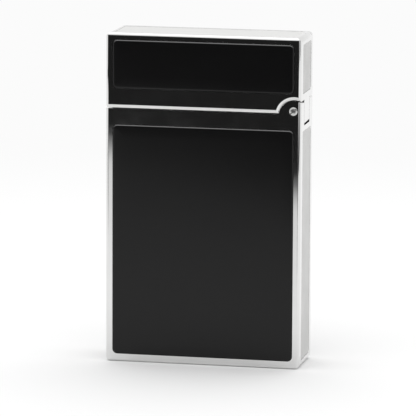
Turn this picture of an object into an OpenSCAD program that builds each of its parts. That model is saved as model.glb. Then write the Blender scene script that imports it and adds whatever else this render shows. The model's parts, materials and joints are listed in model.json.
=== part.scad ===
// Slim pocket gas lighter with a hinged lid, lacquer faces and a thumb roller.
// Millimetres, +Z up, origin at the middle of the underside.
// +X is the hinge side, -Y is the front face.

/* [Case] */
// Width of the case across the front
case_w = 36.3; // [36:0.1:44]
// Thickness of the case, front to rear
case_t = 11.6; // [11.4:0.1:14]
// Height of the closed lighter
case_h = 61; // [58:0.5:74]
// Height of the lid, from its lower edge to its top
lid_h = 13.76; // [13.5:0.01:16]
// Gap between the body and the closed lid
lid_gap = 0.12; // [0.08:0.01:0.2]
// Wall thickness of the body and the lid
wall_t = 1; // [0.9:0.05:1.2]
// Radius of the corners seen from the front
corner_r = 1; // [0.6:0.1:1.5]
// Radius of the edges seen from the side and from above
edge_r = 0.5; // [0.3:0.05:0.8]
// Height of the bevel along the lid's lower edge
bevel_h = 0.57; // [0.3:0.01:0.7]
// Depth of the bevel along the lid's lower edge
bevel_d = 0.3; // [0.15:0.01:0.4]

/* [Lacquer panels] */
// Thickness of a lacquer panel
panel_t = 0.6; // [0.4:0.05:0.7]
// How far a lacquer panel stands out of the chrome frame
panel_proud = 0.12; // [0.05:0.01:0.2]
// Width of the chrome frame beside the panels
panel_border = 1.3; // [1:0.1:2]
// Height of the chrome frame under the body panel
body_panel_foot = 1.46; // [1.2:0.01:2]
// Height of the chrome frame above the body panel
body_panel_head = 2.97; // [2.5:0.01:4]
// Height of the chrome frame under the lid panel
lid_panel_foot = 3.53; // [2.8:0.01:4]
// Height of the chrome frame above the lid panel
lid_panel_head = 1.23; // [1:0.01:2]
// Corner radius of a lacquer panel
panel_corner_r = 0.9; // [0.4:0.1:1.5]

/* [Satin plates] */
// Thickness of the satin plates on the sides, top and base
plate_t = 0.4; // [0.3:0.05:0.5]
// How far the satin plates lie below the chrome around them
plate_sink = 0.04; // [0.02:0.01:0.1]
// Width of the chrome frame in front of and behind a side plate
side_border = 1.9; // [1.5:0.1:2.5]
// Height of the chrome frame under and above the side plates
plate_foot = 1.4; // [1.2:0.1:2]
// Distance from the body's top down to its side plates
body_plate_head = 3.4; // [3:0.1:5]
// Distance from the lid's lower edge up to its side plates
lid_plate_foot = 3.4; // [3:0.1:4.5]
// Width of the chrome frame round the top and base plates
top_border = 1.3; // [1:0.1:2]
// Clearance round a panel or plate in its recess
inset_gap = 0.02; // [0.01:0.01:0.05]

/* [Lid hinge] */
// Distance from the case's side to the hinge pin
hinge_inset = 1.4; // [1.3:0.05:1.6]
// Height of the hinge pin above the lid's lower edge
hinge_rise = 0.41; // [0.3:0.01:0.6]
// Diameter of the hinge pin
pin_d = 1.2; // [1:0.1:1.4]
// Diameter of the hinge pin's heads
pin_head_d = 1.6; // [1.5:0.1:1.9]
// How far a pin head stands out of the case
pin_head_proud = 0.1; // [0.05:0.01:0.15]
// Radius of the body's hinge ears
ear_r = 2.79; // [2.7:0.01:2.9]
// Distance from the case's side to the centre of an ear
ear_inset = 1.25; // [1.1:0.05:1.4]
// Depth of an ear's centre below the hinge pin
ear_drop = 0.85; // [0.7:0.01:0.9]
// Gap between an ear and the lid's cut-out
ear_gap = 0.12; // [0.1:0.01:0.15]
// Width of the lid's hinge tongue
tongue_w = 4.9; // [4.4:0.1:5.4]
// Depth of the tongue's lower end below the hinge pin
tongue_drop = 2.7; // [2.4:0.1:2.9]
// Gap on each side of the tongue
tongue_gap = 0.1; // [0.08:0.01:0.15]
// Gap under the tongue
slit_gap = 0.25; // [0.2:0.01:0.4]

/* [Fits] */
// Radial clearance of a fixed pin or a pressed piece
press_gap = 0.01; // [0.01:0.005:0.02]
// Radial clearance of a piece that turns or slides
run_gap = 0.03; // [0.02:0.01:0.06]

/* [Thumb roller] */
// Diameter of the thumb roller
roller_d = 7.6; // [6.3:0.1:7.8]
// Distance from the case's side to the roller's axle
roller_inset = 5.75; // [5.6:0.05:6.5]
// Height of the roller's axle above the deck
roller_rise = 4.4; // [4.3:0.1:4.8]
// Width of each roller drum
drum_w = 2.1; // [1.6:0.1:2.2]
// Diameter of the spark wheel
wheel_d = 5.8; // [5:0.1:6]
// Width of the spark wheel
wheel_w = 2.6; // [2.4:0.1:2.7]
// Gap between the drums, the spark wheel and the cheeks
drum_gap = 0.15; // [0.1:0.01:0.2]
// Diameter of the roller's axle
axle_d = 1.5; // [1.2:0.1:1.8]
// Thickness of the cheeks that carry the axle
cheek_t = 0.7; // [0.6:0.1:0.8]

/* [Flint] */
// Diameter of the flint
flint_d = 2.3; // [2:0.1:2.3]
// Length of the flint
flint_len = 5; // [4:0.1:6]
// Gap between the flint and the spark wheel
flint_gap = 0.05; // [0.03:0.01:0.1]
// Outer diameter of the flint tube
tube_d = 4.6; // [4.4:0.1:4.8]
// Bore of the flint tube
tube_bore = 3.4; // [3.2:0.1:3.6]
// Length of the head of the brass plunger under the flint
plunger_len = 1.8; // [1.5:0.1:3]
// Length of the plunger's nose
nose_len = 2; // [1.5:0.1:2.5]
// Gap between the plunger and the tube's shoulder
plunger_gap = 0.2; // [0.1:0.05:0.5]
// Outer diameter of the flint spring
flint_spring_d = 3; // [2.8:0.1:3.1]
// Diameter of the flint screw's head
flint_head_d = 5; // [4.8:0.1:5.4]
// Length of the flint screw's shank
flint_shank_len = 7; // [5:0.1:9]

/* [Gas tank] */
// Wall thickness of the tank
tank_wall = 0.6; // [0.5:0.1:0.8]
// Clearance round the tank in the case
tank_gap = 0.1; // [0.05:0.05:0.2]
// Distance from the flint tube to the tank
tank_offset = 0.5; // [0.3:0.1:1]
// Thickness of the tank's cap
tank_cap_t = 0.8; // [0.6:0.1:1.2]
// Space between the tank and the deck
works_h = 5; // [4.8:0.1:6]

/* [Deck] */
// Thickness of the deck
deck_t = 1.5; // [1.2:0.1:1.8]
// Depth of the deck below the body's top
deck_sink = 0.72; // [0.5:0.01:1]
// Clearance between the deck and the case
deck_gap = 0.05; // [0.03:0.01:0.1]
// Thickness of the deck's legs
leg_t = 1.2; // [1:0.1:1.5]

/* [Burner] */
// Distance from the roller's axle to the burner
burner_offset = 9.4; // [9.2:0.1:10]
// Diameter of the burner's threaded shank
burner_shank_d = 4; // [3.6:0.1:4.4]
// Length of the burner's shank inside the tank
burner_shank_len = 3.2; // [2:0.1:5]
// Diameter of the burner's hexagonal flange, across its corners
burner_hex_d = 5.8; // [5.4:0.1:6.2]
// Height of the hexagonal flange
burner_hex_h = 1.2; // [1:0.1:1.6]
// Thickness of the seal under the flange
burner_seal_t = 0.3; // [0.2:0.05:0.5]
// Diameter of the sliding stem
stem_d = 2.4; // [2:0.1:2.6]
// Diameter of the stem's collar
collar_d = 4; // [3.6:0.1:4.2]
// Thickness of the stem's collar
collar_t = 0.6; // [0.5:0.05:0.8]
// Diameter of the burner's tip
tip_d = 1.6; // [1.4:0.1:1.8]
// Height of the tip above the collar
tip_h = 3.6; // [3:0.1:3.8]
// Diameter of the gas jet
jet_d = 0.5; // [0.4:0.05:0.7]
// How far the lever lifts the stem
burner_lift = 0.8; // [0.5:0.05:0.8]
// Diameter of the burner spring's wire coil, outside
burner_spring_d = 3.4; // [3.2:0.1:3.6]

/* [Wind guard] */
// Width of the wind guard along the case
guard_w = 8; // [7.6:0.1:8.4]
// Depth of the wind guard, front to rear
guard_depth = 7.6; // [7:0.1:7.8]
// Height of the wind guard above the deck
guard_h = 7.1; // [6.5:0.1:7.2]
// Wall thickness of the wind guard
guard_t = 0.45; // [0.35:0.05:0.6]
// Diameter of the air holes in the wind guard
air_hole_d = 1.4; // [1:0.1:1.6]

/* [Burner lever] */
// Distance from the burner to the lever's pin
lever_arm = 8; // [7.5:0.1:8.5]
// Height of the lever's pin above the deck
lever_rise = 1.5; // [1.4:0.05:1.6]
// Length of the lever's tail beyond the pin
lever_tail = 6; // [5:0.1:6.5]
// Diameter of the lever's pin
lever_pin_d = 1; // [0.8:0.1:1.2]
// Diameter of the lever's hub
lever_hub_d = 2.2; // [2:0.1:2.4]
// Width of the lever
lever_w = 4; // [3.6:0.1:4.2]
// Thickness of the lever's arms
lever_t = 0.6; // [0.5:0.05:0.7]
// Thickness of the lugs that carry the lever
lug_t = 0.7; // [0.6:0.1:0.9]
// Gap between moving levers and their lugs
lug_gap = 0.12; // [0.08:0.01:0.2]

/* [Filling valve] */
// Distance from the burner to the filling valve
valve_offset = 8; // [6:0.5:10]
// Diameter of the filling port
port_d = 3.2; // [3:0.1:3.6]
// Free depth of the filling port
port_depth = 2.4; // [2:0.1:3]
// Outer diameter of the valve's shank
valve_d = 4.4; // [4.2:0.1:4.8]
// Length of the valve
valve_len = 8; // [7.5:0.5:10]
// Diameter of the valve's flange
valve_flange_d = 5.4; // [5.2:0.1:6]
// Thickness of the valve's flange
valve_flange_t = 0.4; // [0.3:0.05:0.5]
// Thickness of the valve's seal
valve_seal_t = 0.2; // [0.15:0.05:0.3]
// Diameter of the valve stem
valve_stem_d = 1.2; // [1:0.1:1.4]
// How far the valve stem is pushed in
valve_travel = 1; // [0.6:0.1:1.2]

/* [Flow screw] */
// Distance from the filling valve to the flow screw
flow_offset = 6; // [5.5:0.5:7]
// Diameter of the flow screw's head
flow_head_d = 3; // [2.6:0.1:3.4]
// Diameter of the flow screw's shank
flow_shank_d = 2; // [1.6:0.1:2.2]
// Length of the flow screw's shank
flow_shank_len = 4; // [3:0.5:6]

/* [Lid spring] */
// Thickness of the leaf spring that holds the lid
leaf_t = 0.4; // [0.3:0.05:0.5]
// Width of the leaf spring
leaf_w = 4; // [3:0.1:4.5]
// Gap between the leaf spring's tip and the tongue's sweep
leaf_gap = 0.2; // [0.15:0.01:0.3]
// Diameter of the leaf spring's screw
leaf_screw_d = 1.2; // [1:0.1:1.6]

/* [Snuffer] */
// Gap between the wind guard and the snuffer's bonnet
bonnet_gap = 0.45; // [0.4:0.05:0.6]
// Diameter of the snuffer's bonnet
bonnet_d = 3.6; // [3:0.1:4]
// Height of the snuffer's bonnet
bonnet_h = 1.6; // [1.2:0.1:1.8]
// Distance from the bonnet to the snuffer's pin
snuffer_len = 9; // [8:0.1:9.5]
// Height of the snuffer's pin below the lid's inner top
snuffer_drop = 2.6; // [2.4:0.1:2.8]
// Diameter of the snuffer's pin
snuffer_pin_d = 1; // [0.8:0.1:1.2]
// Diameter of the snuffer's hub
snuffer_hub_d = 2; // [1.9:0.1:2.2]
// Width of the snuffer's arm
snuffer_w = 3.6; // [3:0.1:4]

/* [Hidden] */
$fn = 64;
// Depth by which a cut reaches past the face that it opens
over = 1;
// Metal left round the bores of the cheeks and of the lugs
cheek_rim = 0.85;
lug_rim = 0.2;
// Clearance between a hub's cheeks and the spring between them
coil_gap = 0.15;
half_w = case_w / 2;
half_t = case_t / 2;
in_w = half_w - wall_t;
in_t = half_t - wall_t;
lid_z = case_h - lid_h;
body_z = lid_z - lid_gap;
lid_in_z = case_h - wall_t;
panel_recess = panel_t - panel_proud;
plate_recess = plate_t + plate_sink;
panel_w = case_w - 2 * panel_border;
side_plate_w = case_t - 2 * side_border;

pin_x = half_w - hinge_inset;
pin_z = lid_z + hinge_rise;
ear_x = half_w - ear_inset;
ear_z = pin_z - ear_drop;
// The ear's crown keeps this radius about the pin, so that it clears the lid
crown_r = ear_r - norm([ear_x - pin_x, ear_drop]);
knuckle_r = hinge_inset;
tongue_end_r = 0.3;
// Depth of the pin heads in the ears
pin_head_in = 0.3;
sweep_r = norm([hinge_inset - tongue_end_r, tongue_drop - tongue_end_r]) + tongue_end_r;
notch_r = sweep_r + slit_gap / 2;

deck_z = body_z - deck_sink;
deck_under = deck_z - deck_t;
roller_x = -half_w + roller_inset;
roller_z = deck_z + roller_rise;
burner_x = roller_x + burner_offset;
drum_y = wheel_w / 2 + drum_gap;
cheek_y = drum_y + drum_w + drum_gap;
deck_end = pin_x - notch_r - 3 * slit_gap;

plate_floor = plate_recess;
floor_z = wall_t;
tank_x0 = roller_x + tube_d / 2 + tank_offset;
tank_x1 = in_w - tank_gap;
tank_y = in_t - tank_gap;
tank_top = deck_under - works_h;
cap_z = tank_top - tank_cap_t;

lever_x = burner_x + lever_arm;
lever_z = deck_z + lever_rise;
valve_x = burner_x + valve_offset;
flow_x = valve_x + flow_offset;
wheel_bottom = roller_z - wheel_d / 2;
flint_top = wheel_bottom - flint_gap;
flint_z = flint_top - flint_len;
plunger_top = flint_z - nose_len - plunger_gap;
plunger_z = plunger_top - plunger_len;
tube_rise = 0.2;
tube_top = deck_z + tube_rise;

// Play between the lever's fork and the stem's collar
fork_play = 0.05;
collar_z = lever_z + lever_t / 2 + fork_play;
tip_z = collar_z + collar_t + tip_h;
hex_z = tank_top + burner_seal_t;
burner_neck_h = 1;
burner_top = hex_z + burner_hex_h + burner_neck_h;
guard_top = deck_z + guard_h;
bonnet_z = guard_top + bonnet_gap;
snuffer_x = burner_x + snuffer_len;
snuffer_z = lid_in_z - snuffer_drop;

// Colours of the finishes
chrome_c = [0.85, 0.86, 0.88];
satin_c = [0.74, 0.74, 0.76];
lacquer_c = [0.03, 0.03, 0.035];
brass_c = [0.8, 0.64, 0.34];
steel_c = [0.6, 0.61, 0.64];
rubber_c = [0.1, 0.1, 0.11];
flint_c = [0.28, 0.27, 0.27];

// ---- Helpers -------------------------------------------------------------

// Extrudes a front-view outline (x, z) from y0 to y1
module along_y(y0, y1) {
    translate([0, y1, 0]) rotate([90, 0, 0]) linear_extrude(y1 - y0) children();
}

// Extrudes a side-view outline (y, z) from x0 to x1
module along_x(x0, x1) {
    translate([x0, 0, 0]) rotate([90, 0, 90]) linear_extrude(x1 - x0) children();
}

// A round bar along Y
module bar_y(x, z, r, y0, y1) {
    translate([x, y1, z]) rotate([90, 0, 0]) cylinder(h = y1 - y0, r = r);
}

// A round bar along Z
module bar_z(x, r, z0, z1) {
    translate([x, 0, z0]) cylinder(h = z1 - z0, r = r);
}

// A box between two corners
module block(low, high) {
    translate(low) cube(high - low);
}

// Repeats its children on the front and, mirrored, on the rear
module front_and_rear() {
    children();
    mirror([0, 1, 0]) children();
}

// A rectangle with round corners, centred on the origin
module round_rect(w, h, r) {
    square([w - 2 * r, h], center = true);
    square([w, h - 2 * r], center = true);
    for (x = [-1, 1], y = [-1, 1])
        translate([x * (w / 2 - r), y * (h / 2 - r)]) circle(r);
}

// Where a tooth's tip starts and ends and where its root lies, as shares of the pitch
tooth_steps = [0, 0.35, 0.6];

// A toothed outline with n teeth between two radii
module toothed(r_tip, r_root, n) {
    radii = [r_tip, r_tip, r_root];
    polygon([for (i = [0:n - 1], k = [0:2])
        let (a = (i + tooth_steps[k]) * 360 / n) [radii[k] * cos(a), radii[k] * sin(a)]]);
}

// A sleeve along Z that stands for a coil spring
module coil_z(x, r_out, wire, z0, z1) {
    difference() {
        bar_z(x, r_out, z0, z1);
        bar_z(x, r_out - wire, z0 - over, z1 + over);
    }
}

// A sleeve along Y that stands for a torsion spring
module coil_y(x, z, r_in, r_out, half) {
    difference() {
        bar_y(x, z, r_out, -half, half);
        bar_y(x, z, r_in, -half - over, half + over);
    }
}

// ---- Outer form ----------------------------------------------------------

// The whole closed case as one rounded block
module case_form() {
    intersection() {
        along_y(-half_t, half_t)
            translate([0, case_h / 2]) round_rect(case_w, case_h, corner_r);
        along_x(-half_w, half_w)
            translate([0, case_h / 2]) round_rect(case_t, case_h, edge_r);
        linear_extrude(case_h) round_rect(case_w, case_t, edge_r);
    }
}

// Front-view outline of a panel between two heights, grown by a clearance
module panel_outline(w, z0, z1, r, grow) {
    translate([0, (z0 + z1) / 2]) round_rect(w + 2 * grow, z1 - z0 + 2 * grow, r + grow);
}

// A lacquer panel on the front face
module lacquer_panel(z0, z1) {
    along_y(-half_t - panel_proud, -half_t + panel_recess)
        panel_outline(panel_w, z0, z1, panel_corner_r, 0);
}

// The recesses for the lacquer panels, front and rear
module lacquer_recesses(z0, z1) {
    front_and_rear() along_y(-half_t - over, -half_t + panel_recess)
        panel_outline(panel_w, z0, z1, panel_corner_r, inset_gap);
}

// A satin plate on the right side
module side_plate(z0, z1) {
    along_x(half_w - plate_recess, half_w - plate_sink)
        panel_outline(side_plate_w, z0, z1, edge_r, 0);
}

// The recesses for the satin plates, left and right
module side_recesses(z0, z1) {
    for (side = [0, 1]) mirror([side, 0, 0]) along_x(half_w - plate_recess, half_w + over)
        panel_outline(side_plate_w, z0, z1, edge_r, inset_gap);
}

// Outline of the plates on the top and the base
module end_outline(grow) {
    round_rect(case_w - 2 * top_border + 2 * grow, case_t - 2 * top_border + 2 * grow,
        edge_r + grow);
}

// ---- Body ----------------------------------------------------------------

body_panel_z0 = body_panel_foot;
body_panel_z1 = body_z - body_panel_head;
body_plate_z0 = plate_foot;
body_plate_z1 = body_z - body_plate_head;

// Front view of a hinge ear: a disc whose crown is trimmed about the pin
module ear_outline() {
    intersection() {
        translate([ear_x, ear_z]) circle(ear_r);
        union() {
            translate([pin_x, pin_z]) circle(crown_r);
            translate([pin_x - 2 * ear_r, ear_z - ear_r]) square([2 * ear_r, 2 * ear_r]);
            translate([pin_x - over, ear_z - ear_r]) square([ear_r + over, ear_r]);
        }
    }
}

// Room for the tongue, which swings into the body as the lid opens
module tongue_notch() {
    side = tongue_w / 2 + tongue_gap;
    block([in_w - over, -side, pin_z - tongue_drop - slit_gap], [half_w + over, side, case_h]);
    bar_y(pin_x, pin_z, notch_r, -side, side);
}

module case_shell() {
    color(chrome_c) difference() {
        union() {
            difference() {
                case_form();
                block([-half_w - over, -half_t - over, body_z],
                    [half_w + over, half_t + over, case_h + over]);
                block([-in_w, -in_t, floor_z], [in_w, in_t, case_h]);
                lacquer_recesses(body_panel_z0, body_panel_z1);
                side_recesses(body_plate_z0, body_plate_z1);
                translate([0, 0, -over]) linear_extrude(plate_floor + over)
                    end_outline(inset_gap);
            }
            intersection() {
                case_form();
                front_and_rear() along_y(-half_t, -tongue_w / 2 - tongue_gap) ear_outline();
            }
        }
        tongue_notch();
        bar_y(pin_x, pin_z, pin_d / 2 + press_gap, -half_t - over, half_t + over);
        front_and_rear() bar_y(pin_x, pin_z, pin_head_d / 2 + inset_gap,
            -half_t - over, -half_t + pin_head_in);
        bar_z(valve_x, valve_flange_d / 2 + run_gap, -over, floor_z + over);
        bar_z(flow_x, flow_head_d / 2 + run_gap, -over, floor_z + over);
        bar_z(roller_x, flint_head_d / 2 + run_gap, -over, floor_z + over);
    }
}

module front_panel() {
    color(lacquer_c) lacquer_panel(body_panel_z0, body_panel_z1);
}

module rear_panel() {
    color(lacquer_c) mirror([0, 1, 0]) lacquer_panel(body_panel_z0, body_panel_z1);
}

module right_side_plate() {
    color(satin_c) side_plate(body_plate_z0, body_plate_z1);
}

module left_side_plate() {
    color(satin_c) mirror([1, 0, 0]) side_plate(body_plate_z0, body_plate_z1);
}

module base_plate() {
    color(satin_c) difference() {
        translate([0, 0, plate_sink]) linear_extrude(plate_t) end_outline(0);
        bar_z(valve_x, valve_flange_d / 2 + run_gap, -over, over);
        bar_z(flow_x, flow_head_d / 2 + run_gap, -over, over);
        bar_z(roller_x, flint_head_d / 2 + run_gap, -over, over);
    }
}

module hinge_pin() {
    color(chrome_c) {
        bar_y(pin_x, pin_z, pin_d / 2, -half_t + pin_head_in, half_t - pin_head_in);
        front_and_rear() {
            bar_y(pin_x, pin_z, pin_head_d / 2, -half_t, -half_t + pin_head_in);
            translate([pin_x, -half_t, pin_z]) rotate([90, 0, 0])
                cylinder(h = pin_head_proud, r1 = pin_head_d / 2, r2 = pin_head_d / 2 - 0.2);
        }
    }
}

// ---- Gas tank and filling valve ------------------------------------------

module gas_tank() {
    color(brass_c) difference() {
        block([tank_x0, -tank_y, floor_z], [tank_x1, tank_y, tank_top]);
        block([tank_x0 + tank_wall, -tank_y + tank_wall, floor_z + tank_wall],
            [tank_x1 - tank_wall, tank_y - tank_wall, tank_top + over]);
        bar_z(valve_x, valve_d / 2 + press_gap, 0, floor_z + over);
        bar_z(flow_x, flow_shank_d / 2 + run_gap, 0, floor_z + over);
    }
}

// The cap fits inside the tank's walls and carries the burner
module tank_cap() {
    edge = tank_wall + press_gap;
    color(brass_c) difference() {
        block([tank_x0 + edge, -tank_y + edge, cap_z], [tank_x1 - edge, tank_y - edge, tank_top]);
        bar_z(burner_x, burner_shank_d / 2 + press_gap, cap_z - over, tank_top + over);
        bar_z(leaf_screw_x, leaf_screw_d / 2 + press_gap, cap_z - over, tank_top + over);
    }
}

valve_z0 = floor_z - valve_seal_t - valve_flange_t;
valve_top = valve_z0 + valve_len;
port_top = valve_z0 + port_depth;
valve_seat_t = 0.6;
valve_bore_d = 2.5;
valve_roof_t = 0.8;
poppet_play = 0.05;
poppet_z = port_top + valve_seat_t + poppet_play;
poppet_t = 0.6;

module filling_valve() {
    color(brass_c) difference() {
        union() {
            bar_z(valve_x, valve_flange_d / 2, valve_z0, valve_z0 + valve_flange_t);
            bar_z(valve_x, valve_d / 2, valve_z0, valve_top);
        }
        bar_z(valve_x, port_d / 2, -over, port_top);
        bar_z(valve_x, valve_stem_d / 2 + run_gap, 0, valve_top + over);
        bar_z(valve_x, valve_bore_d / 2, port_top + valve_seat_t, valve_top - valve_roof_t);
    }
}

module valve_seal() {
    z0 = valve_z0 + valve_flange_t;
    color(rubber_c) difference() {
        bar_z(valve_x, valve_flange_d / 2 - inset_gap, z0, floor_z);
        bar_z(valve_x, valve_d / 2 + press_gap, 0, floor_z + over);
    }
}

module valve_stem() {
    color(steel_c) {
        bar_z(valve_x, valve_stem_d / 2, port_top, valve_top - valve_roof_t / 2);
        bar_z(valve_x, valve_bore_d / 2 - 2 * run_gap, poppet_z, poppet_z + poppet_t);
    }
}

module valve_spring() {
    color(steel_c) difference() {
        bar_z(valve_x, valve_bore_d / 2 - 2 * run_gap, poppet_z + poppet_t,
            valve_top - valve_roof_t);
        bar_z(valve_x, valve_stem_d / 2 + 3 * run_gap, 0, valve_top + over);
    }
}

slot_w = 0.5;
// How far the base's screw heads lie inside the plate's recess
head_sink = 0.1;

// A screw along Z with its slotted head at the bottom
module base_screw(x, head_d, shank_d, z1) {
    head_z = plate_floor + head_sink;
    difference() {
        union() {
            bar_z(x, head_d / 2, head_z, floor_z - inset_gap);
            bar_z(x, shank_d / 2, head_z, z1);
        }
        block([x - head_d, -slot_w / 2, 0], [x + head_d, slot_w / 2, head_z + slot_w / 2]);
    }
}

module flow_screw() {
    color(brass_c) base_screw(flow_x, flow_head_d, flow_shank_d, floor_z + flow_shank_len);
}

// ---- Flint ---------------------------------------------------------------

module flint_tube() {
    color(brass_c) difference() {
        bar_z(roller_x, tube_d / 2, floor_z, tube_top);
        bar_z(roller_x, tube_bore / 2, 0, flint_z - nose_len);
        bar_z(roller_x, flint_d / 2 + 2 * run_gap, 0, case_h);
    }
}

module flint_screw() {
    color(brass_c) base_screw(roller_x, flint_head_d, tube_bore - 2 * run_gap,
        floor_z + flint_shank_len);
}

flint_wire = 0.5;

module flint_spring() {
    color(steel_c) coil_z(roller_x, flint_spring_d / 2, flint_wire, floor_z + flint_shank_len,
        plunger_z);
}

// The plunger slides in the wide bore and its nose pushes the flint
module flint_plunger() {
    color(brass_c) {
        bar_z(roller_x, tube_bore / 2 - run_gap, plunger_z, plunger_top);
        bar_z(roller_x, flint_d / 2, plunger_z, flint_z);
    }
}

module flint() {
    color(flint_c) bar_z(roller_x, flint_d / 2, flint_z, flint_top);
}

// ---- Deck, roller and wind guard -----------------------------------------

// How far the right leg starts before the lever's tail ends
leg_inset = 1.6;
leg_x0 = [tank_x0, lever_x + lever_tail - leg_inset];
deck_screw_inset = 1.1;
screw_y = in_t - deck_screw_inset;
deck_screw_d = 1;
deck_head_d = 1.6;
deck_head_t = 0.5;
deck_screw_len = 3.5;
// Gap between a deck screw's tip and the end of its hole
screw_tip_gap = 0.05;
// Slots of the small screws
small_slot_w = 0.3;
small_slot_t = 0.2;
// Room round the burner's spring where it passes the deck
spring_room = 0.3;

// The four places of the deck's screws
module at_deck_screws() {
    for (x = leg_x0, y = [-screw_y, screw_y]) translate([x + leg_t / 2, y, 0]) children();
}

// A cheek that carries one end of the roller's axle
module axle_cheek() {
    r = axle_d / 2 + cheek_rim;
    along_y(-cheek_y - cheek_t, -cheek_y) {
        translate([roller_x, roller_z]) circle(r);
        translate([roller_x - r, deck_z - deck_t / 2]) square([2 * r, roller_z - deck_z + deck_t / 2]);
    }
}

// A lug that carries one end of the lever's pin
module lever_lug() {
    r = lever_hub_d / 2 + lug_rim;
    y = lever_w / 2 + lug_gap;
    along_y(-y - lug_t, -y) {
        translate([lever_x, lever_z]) circle(r);
        translate([lever_x - r, deck_z - deck_t / 2]) square([2 * r, lever_rise + deck_t / 2]);
    }
}

module deck() {
    color(chrome_c) difference() {
        union() {
            block([-in_w + deck_gap, -in_t + deck_gap, deck_under],
                [deck_end, in_t - deck_gap, deck_z]);
            for (x = leg_x0)
                block([x, -in_t + deck_gap, tank_top], [x + leg_t, in_t - deck_gap, deck_z]);
            front_and_rear() {
                axle_cheek();
                lever_lug();
            }
        }
        bar_z(roller_x, tube_d / 2 + press_gap, deck_under - over, deck_z + over);
        bar_z(burner_x, burner_spring_d / 2 + spring_room, deck_under - over, deck_z + over);
        bar_y(roller_x, roller_z, axle_d / 2 + press_gap, -half_t, half_t);
        bar_y(lever_x, lever_z, lever_pin_d / 2 + press_gap, -half_t, half_t);
        at_deck_screws() {
            translate([0, 0, deck_z - deck_head_t])
                cylinder(h = deck_head_t + over, d = deck_head_d + 2 * press_gap);
            translate([0, 0, deck_z - deck_screw_len])
                cylinder(h = deck_screw_len, d = deck_screw_d + 2 * press_gap);
        }
    }
}

module deck_screws() {
    color(steel_c) at_deck_screws() difference() {
        union() {
            translate([0, 0, deck_z - deck_head_t]) cylinder(h = deck_head_t, d = deck_head_d);
            translate([0, 0, deck_z - deck_screw_len + screw_tip_gap])
                cylinder(h = deck_screw_len - deck_head_t, d = deck_screw_d);
        }
        translate([-deck_head_d, -small_slot_w / 2, deck_z - small_slot_t])
            cube([2 * deck_head_d, small_slot_w, over]);
    }
}

module roller_axle() {
    end_y = cheek_y + cheek_t;
    color(steel_c) bar_y(roller_x, roller_z, axle_d / 2, -end_y, end_y);
}

// Depth and number of the teeth of the spark wheel and of the drums
wheel_tooth = 0.2;
wheel_teeth = 30;
drum_tooth = 0.18;
drum_teeth = 48;

// A toothed wheel that turns on the roller's axle
module axle_wheel(r_tip, tooth, n, y0, y1) {
    difference() {
        translate([roller_x, y1, roller_z]) rotate([90, 0, 0])
            linear_extrude(y1 - y0) toothed(r_tip, r_tip - tooth, n);
        bar_y(roller_x, roller_z, axle_d / 2 + run_gap, y0 - over, y1 + over);
    }
}

module spark_wheel() {
    color(steel_c) axle_wheel(wheel_d / 2, wheel_tooth, wheel_teeth, -wheel_w / 2, wheel_w / 2);
}

module front_roller_drum() {
    color(chrome_c)
        axle_wheel(roller_d / 2, drum_tooth, drum_teeth, -drum_y - drum_w, -drum_y);
}

module rear_roller_drum() {
    color(chrome_c)
        axle_wheel(roller_d / 2, drum_tooth, drum_teeth, drum_y, drum_y + drum_w);
}

guard_r = 1.2;
// How far the guard's slot for the lever reaches above the lever's pin
guard_slot_rise = 1.5;
// Heights of the air holes as shares of the guard's height
air_hole_rows = [0.45, 0.75];

module wind_guard() {
    side = lever_w / 2 + lug_gap;
    color(chrome_c) difference() {
        translate([burner_x, 0, deck_z]) linear_extrude(guard_h)
            round_rect(guard_w, guard_depth, guard_r);
        translate([burner_x, 0, deck_z - over]) linear_extrude(guard_h + 2 * over)
            round_rect(guard_w - 2 * guard_t, guard_depth - 2 * guard_t, guard_r - guard_t);
        block([burner_x, -side, deck_z - over], [lever_x, side, lever_z + guard_slot_rise]);
        for (x = [-1, 1], z = air_hole_rows)
            bar_y(burner_x + x * guard_w / 4, deck_z + z * guard_h, air_hole_d / 2, -half_t, half_t);
    }
}

// ---- Burner and its lever ------------------------------------------------

burner_foot_t = 0.6;
// Play under the stem's foot
stem_play = 0.1;
stem_z0 = tank_top - burner_shank_len + burner_foot_t;
burner_seal_inset = 0.5;
// Gap between the burner's spring and the lever's fork
spring_end_gap = 0.9;

module burner_body() {
    color(brass_c) difference() {
        union() {
            bar_z(burner_x, burner_shank_d / 2, tank_top - burner_shank_len, burner_top);
            translate([burner_x, 0, hex_z]) cylinder(h = burner_hex_h, d = burner_hex_d, $fn = 6);
        }
        bar_z(burner_x, stem_d / 2 + run_gap, stem_z0 - stem_play, burner_top + over);
        bar_z(burner_x, jet_d / 2, tank_top - burner_shank_len - over, burner_top);
    }
}

module burner_seal() {
    color(rubber_c) difference() {
        bar_z(burner_x, burner_hex_d / 2 - burner_seal_inset, tank_top, hex_z);
        bar_z(burner_x, burner_shank_d / 2 + press_gap, cap_z, hex_z + over);
    }
}

module burner_spring() {
    color(steel_c) difference() {
        bar_z(burner_x, burner_spring_d / 2, burner_top, lever_z - lever_t / 2 - spring_end_gap);
        bar_z(burner_x, stem_d / 2 + 2 * run_gap, cap_z, collar_z);
    }
}

// The stem rises to let gas through and its tip is the burner's nozzle
module burner_stem() {
    color(brass_c) difference() {
        union() {
            bar_z(burner_x, stem_d / 2, stem_z0, collar_z);
            bar_z(burner_x, collar_d / 2, collar_z, collar_z + collar_t);
            bar_z(burner_x, tip_d / 2, collar_z + collar_t, tip_z);
        }
        bar_z(burner_x, jet_d / 2, collar_z, tip_z + over);
    }
}

// Width of a prong of the lever's fork, and the fork's depth past the collar's middle
fork_prong_w = 0.5;
fork_slack = 0.3;
// Half the width of the torsion springs, and their distance inside a hub's outline
coil_half = 0.8;
coil_inset = 0.1;

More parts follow.
